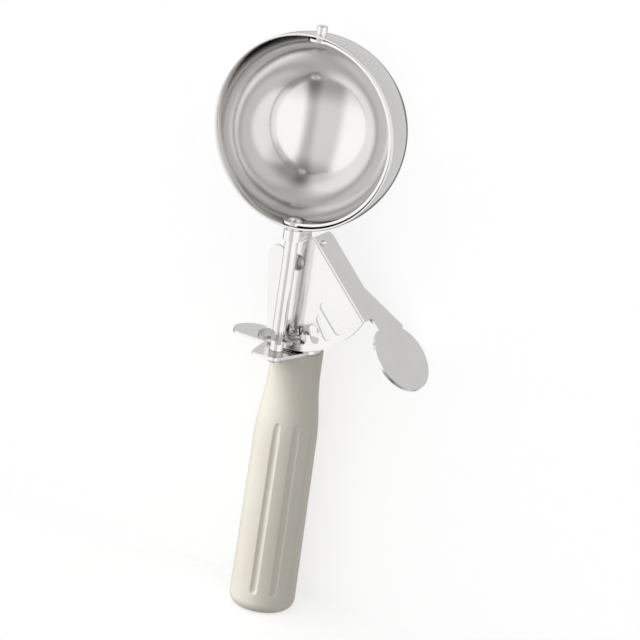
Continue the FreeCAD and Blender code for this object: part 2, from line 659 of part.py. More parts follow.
def lever_leg_angle():
    """Angle of the coil's middle circle where the lever leg leaves it."""
    offset = leg_hole_centre() - PIVOT
    reach = math.hypot(offset.x, offset.z)
    return math.atan2(offset.z, offset.x) + math.acos(COIL_R / reach)


def hook_place():
    """Where the spring's straight hook leg stops, right below the coil's left side."""
    return V(-COIL_R, 0, PIVOT_HEIGHT - HOOK_DROP)


def pivot_washer():
    """Washer between the fan and the back plate."""
    return tube(WASHER_R, RIVET_R, PIVOT + V(0, SECTOR_BACK_Y + AXIAL_PLAY, 0),
                PIVOT + V(0, UPRIGHT_FRONT_Y, 0))


def spring_sleeve():
    """Spacer inside the coil."""
    return tube(SLEEVE_R, RIVET_R, PIVOT + V(0, UPRIGHT_BACK_Y, 0),
                PIVOT + V(0, UPRIGHT_BACK_Y + sleeve_length(), 0))


def rear_washer():
    """Washer that keeps the coil on its sleeve."""
    start = UPRIGHT_BACK_Y + sleeve_length()
    return tube(REAR_WASHER_R, RIVET_R, PIVOT + V(0, start, 0), PIVOT + V(0, start + REAR_WASHER_T, 0))


def biarc(start, start_way, end, end_way):
    """Two arcs that join two points and leave each along its own direction."""
    span = end - start
    ways = start_way + end_way
    bend = 2 * (1 - start_way.dot(end_way))
    along = span.dot(ways)
    reach = (-along + math.sqrt(along * along + bend * span.dot(span))) / bend
    joint = (start + end + (start_way - end_way) * reach) * 0.5
    return [bow(start, start + start_way * reach, joint), bow(joint, end - end_way * reach, end)]


def bow(start, corner, end):
    """Arc from start to end whose end tangents meet at corner."""
    weight = (end - start).Length / 2 / (corner - start).Length
    return arc(start, (start + corner * (2 * weight) + end) * (1 / (2 + 2 * weight)), end)


def coil_point(turned, start_angle, start_y):
    angle = start_angle - turned
    y = start_y - COIL_PITCH * turned / (2 * math.pi)
    return PIVOT + V(COIL_R * math.cos(angle), y, COIL_R * math.sin(angle))


def coil_way(turned, start_angle):
    angle = start_angle - turned
    advance = COIL_PITCH / (2 * math.pi * COIL_R)
    return V(math.sin(angle), -advance, -math.cos(angle)).normalize()


def spring_path():
    """Hook in the upright, straight leg, coil towards the front, and the leg into the arm's hole."""
    hook = hook_place()
    start_angle = HOOK_LEG_ANGLE
    sweep = coil_sweep()
    start_y = COIL_FRONT_Y + coil_advance()
    steps = math.ceil(sweep / (math.pi / 2))
    points = [coil_point(sweep * step / steps, start_angle, start_y) for step in range(steps + 1)]
    ways = [coil_way(sweep * step / steps, start_angle) for step in range(steps + 1)]
    corner = V(hook.x, start_y, hook.z)
    leg_way = (points[0] - corner).normalize()
    hook_front = V(hook.x, UPRIGHT_FRONT_Y - HOOK_REACH, hook.z)
    hook_turn = V(hook.x, start_y - HOOK_BEND_R, hook.z)
    leg_start = corner + leg_way * HOOK_BEND_R
    ease = points[0] - leg_way * LEG_EASE
    edges = [line(hook_front, hook_turn), bow(hook_turn, corner, leg_start), line(leg_start, ease)]
    edges += biarc(ease, leg_way, points[1], ways[1])
    for step in range(1, steps - 1):
        edges += biarc(points[step], ways[step], points[step + 1], ways[step + 1])
    hole = leg_hole_centre()
    out_way = (V(hole.x, COIL_FRONT_Y, hole.z) - points[-1]).normalize()
    out_start = points[-1] + out_way * LEG_EASE
    edges += biarc(points[-2], ways[-2], out_start, out_way)
    edges.append(line(out_start, hole + out_way * LEG_REACH))
    return Part.Wire(edges)


def least_gap(path, wire_r):
    """Least clear distance between parts of the path that are not neighbours."""
    points = path.discretize(Distance=PATH_STEP)
    nearest = min((points[i] - points[j]).Length for i in range(len(points))
                  for j in range(i + NEIGHBOUR_STEPS, len(points)))
    return nearest - 2 * wire_r


def return_spring():
    """Torsion spring round the sleeve, one unbroken wire."""
    path = spring_path()
    start = path.Edges[0].valueAt(path.Edges[0].FirstParameter)
    section = Part.Wire(Part.Circle(start, V(0, 1, 0), WIRE_R).toShape())
    shell = Part.BRepOffsetAPI.MakePipeShell(path)
    shell.add(section)
    shell.build()
    shell.makeSolid()
    print("spring gap to itself", round(least_gap(path, WIRE_R), 3), "mm")
    print("spring volume over section times length",
          round(shell.shape().Volume / (math.pi * WIRE_R ** 2 * path.Length), 4))
    return shell.shape()


def blade_shell():
    """Full ring of the blade's thickness, wider than its lugs."""
    reach = BLADE_LUG_R + 1
    band = Part.makeCylinder(BLADE_OUTER_R, 2 * reach, V(0, -reach, BOWL_HEIGHT), V(0, 1, 0))
    return band.cut(Part.makeCylinder(BLADE_INNER_R, 2 * reach, V(0, -reach, BOWL_HEIGHT), V(0, 1, 0)))


def scraper_blade():
    """Half-round strip that follows the bowl's wall, with a round lug on each pivot."""
    band = blade_shell()
    strip = Part.makeBox(BOWL_R, BLADE_WIDTH, 2 * BOWL_R, V(0, -BLADE_WIDTH / 2, BOWL_HEIGHT - BOWL_R))
    lugs = cylinder(BLADE_LUG_R, V(0, 0, BOWL_HEIGHT - BOWL_R), V(0, 0, BOWL_HEIGHT + BOWL_R))
    blade = band.common(strip.fuse(lugs))
    return blade.cut(cylinder(BLADE_RIVET_R, V(0, 0, BOWL_HEIGHT - BOWL_R), V(0, 0, BOWL_HEIGHT + BOWL_R)))


def blade_rivet():
    """Riveted head that holds the blade's lower lug on the shaft."""
    base = V(0, 0, BOWL_HEIGHT - BLADE_OUTER_R + BLADE_T)
    return dome(BLADE_RIVET_HEAD_R, BLADE_RIVET_HEAD, base, V(0, 0, 1)).cut(blade_shell())


def top_pivot_pin():
    """Stub that carries the blade's upper lug in the bowl's top hole."""
    lug = BOWL_HEIGHT + BLADE_OUTER_R
    top = BOWL_HEIGHT + BOWL_OUTER_R + TOP_PIN_REACH
    pin = cylinder(TOP_PIN_R, V(0, 0, lug - BLADE_T / 2), V(0, 0, top))
    pin = round_edges(pin, TOP_PIN_ROUND, lambda edge, at: edge.Closed and abs(at.z - top) < TOUCH)
    head = dome(BLADE_RIVET_HEAD_R, BLADE_RIVET_HEAD, V(0, 0, lug - BLADE_T), V(0, 0, -1))
    pin = pin.cut(blade_shell()).fuse(head.cut(blade_shell()))
    return pin.fuse(cylinder(BLADE_RIVET_R, V(0, 0, lug - 1.5 * BLADE_T), V(0, 0, lug + BLADE_T / 2)))


def main():
    os.makedirs("parts", exist_ok=True)
    makers = [
        handle, handle_rod, finger_rest_plate, foot_rivets, back_plate, bowl, bowl_saddle, shaft_strap,
        foot_bush, pivot_rivet, pivot_washer, spring_sleeve, rear_washer, return_spring, thumb_lever,
        lever_bushing, scraper_shaft, pinion, retaining_ring, scraper_blade, blade_rivet, top_pivot_pin,
    ]
    for make in makers:
        save(make.__name__, make())


main()
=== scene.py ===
"""Looks of a lever ice cream scoop: polished steel bowl and mechanism on an ivory grip."""

import math

import bmesh
import bpy
from bpy.props import FloatProperty, FloatVectorProperty, IntProperty, PointerProperty
from mathutils import Matrix, Vector


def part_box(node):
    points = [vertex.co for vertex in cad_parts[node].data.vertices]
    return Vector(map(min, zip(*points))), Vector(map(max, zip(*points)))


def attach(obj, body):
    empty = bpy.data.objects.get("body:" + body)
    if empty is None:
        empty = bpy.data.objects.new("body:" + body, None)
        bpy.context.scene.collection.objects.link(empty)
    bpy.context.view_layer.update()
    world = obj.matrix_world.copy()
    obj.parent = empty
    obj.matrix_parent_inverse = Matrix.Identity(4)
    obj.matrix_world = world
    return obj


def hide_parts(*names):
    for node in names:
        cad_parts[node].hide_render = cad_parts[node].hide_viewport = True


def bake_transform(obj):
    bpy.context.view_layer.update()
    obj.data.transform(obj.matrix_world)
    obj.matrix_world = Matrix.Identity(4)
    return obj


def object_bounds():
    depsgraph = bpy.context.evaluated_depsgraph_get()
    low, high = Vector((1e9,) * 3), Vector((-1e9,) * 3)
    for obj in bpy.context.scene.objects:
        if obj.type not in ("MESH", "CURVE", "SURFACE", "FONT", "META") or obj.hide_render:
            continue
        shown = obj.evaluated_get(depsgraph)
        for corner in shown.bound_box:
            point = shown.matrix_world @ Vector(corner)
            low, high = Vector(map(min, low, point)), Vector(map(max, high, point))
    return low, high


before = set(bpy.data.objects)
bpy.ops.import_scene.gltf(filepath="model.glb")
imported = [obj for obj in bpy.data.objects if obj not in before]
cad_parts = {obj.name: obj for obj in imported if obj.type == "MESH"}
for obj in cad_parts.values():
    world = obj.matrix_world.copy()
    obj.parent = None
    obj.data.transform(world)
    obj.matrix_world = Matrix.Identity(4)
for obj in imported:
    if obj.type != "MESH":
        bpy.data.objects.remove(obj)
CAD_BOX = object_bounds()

bl_info = {
    "name": "Lever ice cream scoop",
    "version": (1, 0, 0),
    "blender": (4, 5, 0),
    "location": "View3D > Sidebar > Scoop",
    "description": "Builds the looks of a lever ice cream scoop round its solid frame",
    "category": "Object",
}

MM = 0.001
MERGE = 1e-6
# Turns what points up to the front, towards -Y
QUARTER_TURN = Matrix.Rotation(math.pi / 2, 3, "X")

# Places that the frame gives
BOWL_LOW = Vector(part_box("bowl")[0])
BOWL_HIGH = Vector(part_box("bowl")[1])
BOWL_OUTER_R = (BOWL_HIGH.x - BOWL_LOW.x) / 2
BOWL_CENTRE = Vector((0.0, BOWL_HIGH.y - BOWL_OUTER_R, (BOWL_LOW.z + BOWL_HIGH.z) / 2))
BOWL_LIP = BOWL_CENTRE.y - BOWL_LOW.y
PIVOT_Z = (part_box("pivot_washer")[0][2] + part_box("pivot_washer")[1][2]) / 2
CAD_BACK = CAD_BOX[1][1]

# Round of the bowl's rim
RIM_STEPS = 3
RIM_PROFILE = 0.5

# The sockets for colours on a Mix node, which has a set of sockets for each kind of value
MIX_FIRST = 6
MIX_SECOND = 7
MIX_RESULT = 2

# Plastic: how it shines and scatters light, and its grain
PLASTIC_SPECULAR = 0.42
PLASTIC_SCATTER = 0.06
PLASTIC_SCATTER_RADIUS = (1.0, 0.8, 0.5)
PLASTIC_SCATTER_SCALE = 1.5 * MM
MOULD_STRENGTH = 0.12
MOULD_DEPTH = 0.03 * MM

# Steel: the share of its brightness that is left in smudges and patches, and its relief
BOWL_SMUDGE = 0.97
SHEET_SMUDGE = 0.96
STAMPED_PATCH = 0.85
LINE_DEPTH = 0.01 * MM
TUMBLED_STRENGTH = 0.15
TUMBLED_DEPTH = 0.02 * MM

# Noise values between which a colour changes, from the edge given here to one minus it
CLOUD_EDGE = 0.3
SMUDGE_EDGE = 0.25

# Studio, for what the steel mirrors: where each light or dark part starts and where it is full,
# along a direction of length one
BOX_FROM_TO = (0.26, 0.47)
ABOVE_FROM_TO = (0.65, 0.92)
BELOW_FROM_TO = (-0.28, -0.72)
STAND_FROM_TO = (0.20, 0.04)
REAR_FROM_TO = (0.1, 0.6)
REAR_LEFT_FROM_TO = (0.0, -0.12)
REAR_LOW_FROM_TO = (0.02, -0.12)

# Floor, key light and camera
FLOOR_COLOUR = 0.93
KEY_WIDTH = 0.8
KEY_HEIGHT = 1.2
KEY_PLACE = (-0.9, -0.7, 0.9)
SENSOR_WIDTH = 36.0


# ---------------------------------------------------------------- shader graphs

class Wire:
    """A shader socket that takes part in sums, so that a formula reads as one line."""

    def __init__(self, graph, socket):
        self.graph = graph
        self.socket = socket

    def joined(self, operation, other, swapped=False):
        pair = (other, self) if swapped else (self, other)
        return self.graph.maths(operation, *pair)

    def __add__(self, other):
        return self.joined("ADD", other)

    def __radd__(self, other):
        return self.joined("ADD", other, swapped=True)

    def __sub__(self, other):
        return self.joined("SUBTRACT", other)

    def __rsub__(self, other):
        return self.joined("SUBTRACT", other, swapped=True)

    def __mul__(self, other):
        return self.joined("MULTIPLY", other)

    def __rmul__(self, other):
        return self.joined("MULTIPLY", other, swapped=True)

    def __abs__(self):
        return self.graph.maths("ABSOLUTE", self)


class Graph:
    """A node tree that is written as formulas."""

    def __init__(self, tree):
        self.tree = tree
        tree.nodes.clear()

    def node(self, kind, settings=None, inputs=None):
        """Adds a node, sets its settings, and feeds its inputs with numbers, colours or wires."""
        made = self.tree.nodes.new(kind)
        for name, value in (settings or {}).items():
            setattr(made, name, value)
        for name, value in (inputs or {}).items():
            self.feed(made.inputs[name], value)
        return made

    def feed(self, socket, value):
        if isinstance(value, Wire):
            self.tree.links.new(value.socket, socket)
        else:
            socket.default_value = value

    def wire(self, node, output=0):
        return Wire(self, node.outputs[output])

    def maths(self, operation, *values):
        inputs = dict(enumerate(values))
        return self.wire(self.node("ShaderNodeMath", {"operation": operation}, inputs))

    def ramp(self, value, low, high):
        """The value taken from low..high to 0..1 along a smooth step."""
        return self.wire(self.node("ShaderNodeMapRange", {"interpolation_type": "SMOOTHSTEP"}, {
            "Value": value, "From Min": low, "From Max": high}))

    def blend(self, factor, first, second):
        """A colour between two colours."""
        mix = self.node("ShaderNodeMix", {"data_type": "RGBA"}, {
            "Factor": factor, MIX_FIRST: first, MIX_SECOND: second})
        return self.wire(mix, MIX_RESULT)

    def place(self):
        """Object coordinates."""
        return self.wire(self.node("ShaderNodeTexCoord"), "Object")

    def parts(self, vector):
        """The three lengths of a vector."""
        split = self.node("ShaderNodeSeparateXYZ", inputs={"Vector": vector})
        return [self.wire(split, name) for name in "XYZ"]

    def vector(self, x, y, z):
        return self.wire(self.node("ShaderNodeCombineXYZ", inputs={"X": x, "Y": y, "Z": z}))

    def noise(self, vector, scale, detail=2.0, roughness=0.5):
        return self.wire(self.node("ShaderNodeTexNoise", inputs={
            "Vector": vector, "Scale": scale, "Detail": detail, "Roughness": roughness}))

    def bump(self, height, strength, distance):
        return self.wire(self.node("ShaderNodeBump", inputs={
            "Height": height, "Strength": strength, "Distance": distance}), "Normal")

    def surface(self, **inputs):
        """Ends the tree in a Principled shader with these inputs."""
        shader = self.node("ShaderNodeBsdfPrincipled", inputs={
            name.replace("_", " "): value for name, value in inputs.items()})
        self.node("ShaderNodeOutputMaterial", inputs={"Surface": self.wire(shader)})


def finish(name):
    """A new material and its graph."""
    material = bpy.data.materials.new(name)
    material.use_nodes = True
    return material, Graph(material.node_tree)


def spread(noise, amount):
    """A noise from 0 to 1 turned into a factor round 1."""
    return 1.0 + (noise - 0.5) * amount


def grey(value):
    return (value, value, value, 1.0)


def darker(tint, share):
    """A tint with a share of its brightness left."""
    return tuple(part * share for part in tint[:3]) + (1.0,)


def mottled(graph, noise, edge, deep, tint):
    """A colour that goes from deep to tint as the noise passes its middle."""
    return graph.blend(graph.ramp(noise, edge, 1.0 - edge), deep, tint)


def smudged(graph, vector, tint, share, settings):
    """Soft smudges, and a tint that is darkened to a share where they lie."""
    haze = graph.noise(vector, settings.haze_scale, detail=3.0)
    return haze, mottled(graph, haze, SMUDGE_EDGE, darker(tint, share), tint)


# ---------------------------------------------------------------- finishes

def plastic_finish(settings):
    """Moulded ivory plastic: satin, with a faint cloudiness and the mould's fine grain."""
    material, graph = finish("ivory_moulded_plastic")
    vector = graph.place()
    cloud = graph.noise(vector, settings.cloud_scale, detail=3.0)
    grain = graph.noise(vector, settings.grain_scale)
    graph.surface(
        Base_Color=mottled(graph, cloud, CLOUD_EDGE, tuple(settings.ivory_deep), tuple(settings.ivory)),
        Roughness=settings.plastic_roughness * spread(cloud, amount=0.3),
        Specular_IOR_Level=PLASTIC_SPECULAR,
        Subsurface_Weight=PLASTIC_SCATTER,
        Subsurface_Radius=PLASTIC_SCATTER_RADIUS,
        Subsurface_Scale=PLASTIC_SCATTER_SCALE,
        Normal=graph.bump(grain, MOULD_STRENGTH, MOULD_DEPTH))
    return material


def spun_finish(name, tint, roughness, settings, centre):
    """Steel spun and polished on a lathe: faint rings round the bowl's axis."""
    material, graph = finish(name)
    vector = graph.place()
    x, _, z = graph.parts(vector)
    across, along = x - centre.x, z - centre.z
    radius = graph.maths("SQRT", across * across + along * along)
    rings = graph.noise(
        graph.vector(radius, 0.0, 0.0), settings.ring_scale, detail=4.0, roughness=0.6)
    haze, colour = smudged(graph, vector, tint, BOWL_SMUDGE, settings)
    graph.surface(
        Base_Color=colour,
        Metallic=1.0,
        Roughness=roughness * spread(haze, amount=0.5) * spread(rings, amount=0.3),
        Normal=graph.bump(rings, settings.ring_strength, LINE_DEPTH))
    return material


def sheet_finish(name, tint, roughness, settings):
    """Bright rolled sheet steel: fine lines along the sheet and a few soft smudges."""
    material, graph = finish(name)
    vector = graph.place()
    x, y, z = graph.parts(vector)
    along = graph.vector(x, y, z * settings.line_stretch)
    lines = graph.noise(along, settings.line_scale, detail=3.0, roughness=0.7)
    haze, colour = smudged(graph, vector, tint, SHEET_SMUDGE, settings)
    graph.surface(
        Base_Color=colour,
        Metallic=1.0,
        Roughness=roughness * spread(haze, amount=0.6) * spread(lines, amount=0.4),
        Normal=graph.bump(lines, settings.line_strength, LINE_DEPTH))
    return material


def turned_finish(name, tint, roughness, settings):
    """Turned steel: fine rings up the shaft's axis."""
    material, graph = finish(name)
    vector = graph.place()
    _, _, z = graph.parts(vector)
    rings = graph.noise(
        graph.vector(0.0, 0.0, z), settings.turning_scale, detail=3.0, roughness=0.6)
    _, colour = smudged(graph, vector, tint, SHEET_SMUDGE, settings)
    graph.surface(
        Base_Color=colour,
        Metallic=1.0,
        Roughness=roughness * spread(rings, amount=0.5),
        Normal=graph.bump(rings, settings.line_strength, LINE_DEPTH))
    return material


def stamped_finish(name, tint, roughness, settings):
    """Stamped or drawn steel, duller, with a fine tumbled grain and darker patches."""
    material, graph = finish(name)
    vector = graph.place()
    patches = graph.noise(vector, settings.patch_scale, detail=4.0, roughness=0.6)
    grain = graph.noise(vector, settings.grain_scale)
    graph.surface(
        Base_Color=mottled(graph, patches, CLOUD_EDGE, darker(tint, STAMPED_PATCH), tint),
        Metallic=1.0,
        Roughness=roughness * spread(patches, amount=0.5),
        Normal=graph.bump(grain, TUMBLED_STRENGTH, TUMBLED_DEPTH))
    return material


# ---------------------------------------------------------------- building help

def dress(node, material):
    """Gives a frame node a new finish."""
    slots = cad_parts[node].material_slots
    if not slots:
        raise RuntimeError("The node has no material slot: " + node)
    for slot in slots:
        slot.material = material


def add_piece(name, shape, material):
    """Turns a bmesh into a smooth-shaded object of the scene."""
    mesh = bpy.data.meshes.new(name)
    shape.to_mesh(mesh)
    shape.free()
    mesh.shade_smooth()
    mesh.materials.append(material)
    piece = bpy.data.objects.new(name, mesh)
    bpy.context.scene.collection.objects.link(piece)
    return piece


def all_parts(shape):
    return shape.verts[:] + shape.edges[:] + shape.faces[:]


def sideways(x, y, azimuth):
    """How far a direction points to either side of an azimuth."""
    return abs(x * math.cos(azimuth) + y * math.sin(azimuth))


# ---------------------------------------------------------------- settings

class ScoopBowlSettings(bpy.types.PropertyGroup):
    """Sizes of the bowl."""
    wall: FloatProperty(
        name="Wall", description="Thickness of the bowl's sheet", default=0.8 * MM, unit="LENGTH")
    rim_round: FloatProperty(
        name="Rim round", description="Radius of the rim's edges", default=0.3 * MM, unit="LENGTH")
    segments: IntProperty(
        name="Segments", description="Steps round the bowl's mouth", default=256, min=32)


class ScoopSpringSettings(bpy.types.PropertyGroup):
    """Sizes of the return spring."""
    hook_cut: FloatProperty(
        name="Hook cut", description="How far below the pivot the coil ends and the hook leg begins",
        default=4.7 * MM, unit="LENGTH")
    end_gap: FloatProperty(
        name="End gap", description="From the sleeve's ends to the wire's middle in the end turns",
        default=0.8 * MM, unit="LENGTH")


class ScoopFinishSettings(bpy.types.PropertyGroup):
    """Colours and textures of the finishes."""
    ivory: FloatVectorProperty(
        name="Ivory", description="Colour of the grip", default=(0.80, 0.765, 0.68, 1.0),
        size=4, subtype="COLOR", min=0.0, max=1.0)
    ivory_deep: FloatVectorProperty(
        name="Ivory, deeper", description="Colour of the grip's faint clouds",
        default=(0.775, 0.735, 0.64, 1.0), size=4, subtype="COLOR", min=0.0, max=1.0)
    steel: FloatVectorProperty(
        name="Steel", description="Colour of the bright steel", default=(0.84, 0.83, 0.82, 1.0),
        size=4, subtype="COLOR", min=0.0, max=1.0)
    # Partly the duller stamped steel's own colour and partly painted shade: darkened so the wheel,
    # rivets and washers look shaded between the mechanism's parts.
    dull_and_shaded_steel: FloatVectorProperty(
        name="Dull steel", description="Colour of the stamped and drawn steel",
        default=(0.50, 0.49, 0.48, 1.0), size=4, subtype="COLOR", min=0.0, max=1.0)
    plastic_roughness: FloatProperty(
        name="Plastic roughness", description="Roughness of the grip", default=0.38, min=0.0, max=1.0)
    bowl_roughness: FloatProperty(
        name="Bowl roughness", description="Roughness of the bowl and the blade", default=0.10,
        min=0.0, max=1.0)
    sheet_roughness: FloatProperty(
        name="Sheet roughness", description="Roughness of the sheet steel and the shaft",
        default=0.14, min=0.0, max=1.0)
    dull_roughness: FloatProperty(
        name="Dull roughness", description="Roughness of the stamped steel", default=0.26,
        min=0.0, max=1.0)
    cloud_scale: FloatProperty(
        name="Cloud scale", description="Clouds per metre in the plastic", default=45.0)
    grain_scale: FloatProperty(
        name="Grain scale", description="Grains per metre", default=3500.0)
    haze_scale: FloatProperty(
        name="Haze scale", description="Smudges per metre on the steel", default=90.0)
    patch_scale: FloatProperty(
        name="Patch scale", description="Darker patches per metre on dull steel", default=300.0)
    ring_scale: FloatProperty(
        name="Ring scale", description="Spinning rings per metre", default=1400.0)
    ring_strength: FloatProperty(
        name="Ring strength", description="Depth of the spinning rings", default=0.08)
    line_scale: FloatProperty(
        name="Line scale", description="Rolling lines per metre", default=1800.0)
    line_stretch: FloatProperty(
        name="Line stretch", description="A rolling line's width as a share of its length",
        default=0.04)
    line_strength: FloatProperty(
        name="Line strength", description="Depth of the rolling lines and turning marks", default=0.10)
    turning_scale: FloatProperty(
        name="Turning scale", description="Turning marks per metre", default=2500.0)


class ScoopStageSettings(bpy.types.PropertyGroup):
    """Camera, light and floor."""
    azimuth: FloatProperty(
        name="Azimuth", description="Camera's turn round the scoop", default=math.radians(24.382),
        subtype="ANGLE")
    elevation: FloatProperty(
        name="Elevation", description="Camera's height as an angle", default=math.radians(17.422),
        subtype="ANGLE")
    roll: FloatProperty(
        name="Roll", description="Camera's turn about its own line of sight",
        default=math.radians(8.368), subtype="ANGLE")
    distance: FloatProperty(
        name="Distance", description="From the aim point to the camera", default=1.2, unit="LENGTH")
    lens: FloatProperty(
        name="Lens", description="Focal length in sensor widths", default=5.3096)
    aim: FloatVectorProperty(
        name="Aim", description="Point the camera and the key light look at",
        default=(0.0091, -0.00477, 0.11312), subtype="TRANSLATION")
    floor_size: FloatProperty(
        name="Floor size", description="Width of the floor and the backdrop", default=6.0,
        unit="LENGTH")
    floor_lift: FloatProperty(
        name="Floor lift", description="Light added to the floor for the camera, so that it is white",
        default=0.55)
    backdrop_lift: FloatProperty(
        name="Backdrop lift", description="Light added to the backdrop for the camera",
        default=0.55)
    backdrop_gap: FloatProperty(
        name="Backdrop gap", description="From the scoop's back to the backdrop", default=1 * MM,
        unit="LENGTH")
    ambient: FloatProperty(
        name="Ambient", description="Light from all round", default=0.52)
    gap_azimuth: FloatProperty(
        name="Gap azimuth", description="Direction of the gap between the light boxes",
        default=math.radians(7.0), subtype="ANGLE")
    gap: FloatProperty(
        name="Gap", description="What steel mirrors between the light boxes", default=0.76)
    box: FloatProperty(
        name="Box", description="What steel mirrors of the light boxes", default=1.14)
    dark: FloatProperty(
        name="Dark", description="How much darker steel mirrors what is above and below",
        default=0.36)
    post: FloatProperty(
        name="Post", description="How much darker steel mirrors the camera's stand", default=0.20)
    rear: FloatProperty(
        name="Rear", description="What steel mirrors of what is behind the scoop", default=0.68)
    rear_dark: FloatProperty(
        name="Rear dark", description="How much darker that is low on the left", default=0.50)
    key: FloatProperty(
        name="Key", description="Power of the light on the left", default=19.0, unit="POWER")


SETTINGS = {
    "scoop_bowl": ScoopBowlSettings,
    "scoop_spring": ScoopSpringSettings,
    "scoop_finish": ScoopFinishSettings,
    "scoop_stage": ScoopStageSettings,
}


# ---------------------------------------------------------------- operators

class SCOOP_OT_bowl(bpy.types.Operator):
    """Build the spun bowl: half a sphere, a straight lip, the sheet's thickness and a round rim"""
    bl_idname = "scoop.bowl"
    bl_label = "Bowl"

    def execute(self, context):
        sizes = context.scene.scoop_bowl
        finishes = context.scene.scoop_finish
        shape = bmesh.new()
        bmesh.ops.create_uvsphere(
            shape, u_segments=sizes.segments, v_segments=sizes.segments // 2, radius=BOWL_OUTER_R)
        bmesh.ops.rotate(shape, verts=shape.verts, matrix=QUARTER_TURN)
        bmesh.ops.bisect_plane(
            shape, geom=all_parts(shape), dist=MERGE, plane_co=(0, 0, 0), plane_no=(0, -1, 0),
            clear_outer=True)
        mouth = [edge for edge in shape.edges if edge.is_boundary]
        grown = bmesh.ops.extrude_edge_only(shape, edges=mouth)["geom"]
        lip = [part for part in grown if isinstance(part, bmesh.types.BMVert)]
        bmesh.ops.translate(shape, verts=lip, vec=(0, -BOWL_LIP, 0))
        bmesh.ops.recalc_face_normals(shape, faces=shape.faces)
        bmesh.ops.solidify(shape, geom=shape.faces[:], thickness=sizes.wall)
        rim = [edge for edge in shape.edges
               if all(abs(vert.co.y + BOWL_LIP) < MERGE for vert in edge.verts)
               and abs(edge.verts[0].co.length - edge.verts[1].co.length) < MERGE]
        bmesh.ops.bevel(
            shape, geom=rim, offset=sizes.rim_round, offset_type="OFFSET", affect="EDGES",
            segments=RIM_STEPS, profile=RIM_PROFILE, material=-1)
        bmesh.ops.translate(shape, verts=shape.verts, vec=BOWL_CENTRE)
        bmesh.ops.recalc_face_normals(shape, faces=shape.faces)
        steel = spun_finish(
            "spun_bowl_steel", tuple(finishes.steel), finishes.bowl_roughness, finishes, BOWL_CENTRE)
        piece = add_piece("spun_bowl", shape, steel)
        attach(piece, "frame")
        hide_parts("bowl")
        return {"FINISHED"}


class SCOOP_OT_spring(bpy.types.Operator):
    """Cut the return spring into a hook leg that stays with the frame and a coil"""
    bl_idname = "scoop.spring"
    bl_label = "Return spring"

    def execute(self, context):
        sizes = context.scene.scoop_spring
        finishes = context.scene.scoop_finish
        drawn = turned_finish(
            "drawn_spring_wire", tuple(finishes.steel), finishes.sheet_roughness, finishes)
        height = PIVOT_Z - sizes.hook_cut
        for name, upper in (("return_spring_coil", True), ("return_spring_hook", False)):
            shape = bmesh.new()
            shape.from_mesh(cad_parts["return_spring"].data)
            bmesh.ops.remove_doubles(shape, verts=shape.verts, dist=MERGE)
            cut = bmesh.ops.bisect_plane(
                shape, geom=all_parts(shape), dist=MERGE, plane_co=(0, 0, height), plane_no=(0, 0, 1),
                clear_inner=upper, clear_outer=not upper)["geom_cut"]
            ends = [part for part in cut if isinstance(part, bmesh.types.BMEdge)]
            bmesh.ops.holes_fill(shape, edges=ends, sides=0)
            bmesh.ops.recalc_face_normals(shape, faces=shape.faces)
            piece = add_piece(name, shape, drawn)
            if upper:
                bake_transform(piece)
            else:
                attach(piece, "frame")
            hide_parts("return_spring")
        return {"FINISHED"}


class SCOOP_OT_grip(bpy.types.Operator):
    """Give the moulded grip its ivory plastic"""
    bl_idname = "scoop.grip"
    bl_label = "Grip"

    def execute(self, context):
        dress("handle", plastic_finish(context.scene.scoop_finish))
        return {"FINISHED"}


class SCOOP_OT_metalwork(bpy.types.Operator):
    """Give the plates, the lever, the shaft, the wheel, the blade and the rivets their steels"""
    bl_idname = "scoop.metalwork"
    bl_label = "Metalwork"

    def execute(self, context):
        finishes = context.scene.scoop_finish
        bright, dull_and_shaded = tuple(finishes.steel), tuple(finishes.dull_and_shaded_steel)
        frame_sheet = sheet_finish("bright_frame_sheet", bright, finishes.sheet_roughness, finishes)
        lever_sheet = sheet_finish("bright_lever_sheet", bright, finishes.sheet_roughness, finishes)
        shaft = turned_finish("turned_shaft_steel", bright, finishes.sheet_roughness, finishes)
        blade = spun_finish(
            "polished_blade_steel", bright, finishes.bowl_roughness, finishes, BOWL_CENTRE)
        # The wheel and the rivets take the dull tint, which is the duller steel's colour plus painted
        # shade for the mechanism's recesses.
        wheel = stamped_finish("stamped_wheel_steel", dull_and_shaded, finishes.dull_roughness, finishes)
        rivet = stamped_finish("rivet_steel_grain", dull_and_shaded, finishes.dull_roughness, finishes)
        dressed = {
            "finger_rest_plate": frame_sheet, "back_plate": frame_sheet, "bowl_saddle": frame_sheet,
            "shaft_strap": frame_sheet, "thumb_lever": lever_sheet, "scraper_shaft": shaft,
            "scraper_blade": blade, "blade_rivet": blade, "top_pivot_pin": shaft, "pinion": wheel,
            "handle_rod": rivet, "foot_rivets": rivet, "pivot_rivet": rivet, "foot_bush": rivet,
            "pivot_washer": rivet, "spring_sleeve": rivet, "rear_washer": rivet, "lever_bushing": rivet,
            "retaining_ring": rivet,
        }
        for node, material in dressed.items():
            dress(node, material)
        return {"FINISHED"}


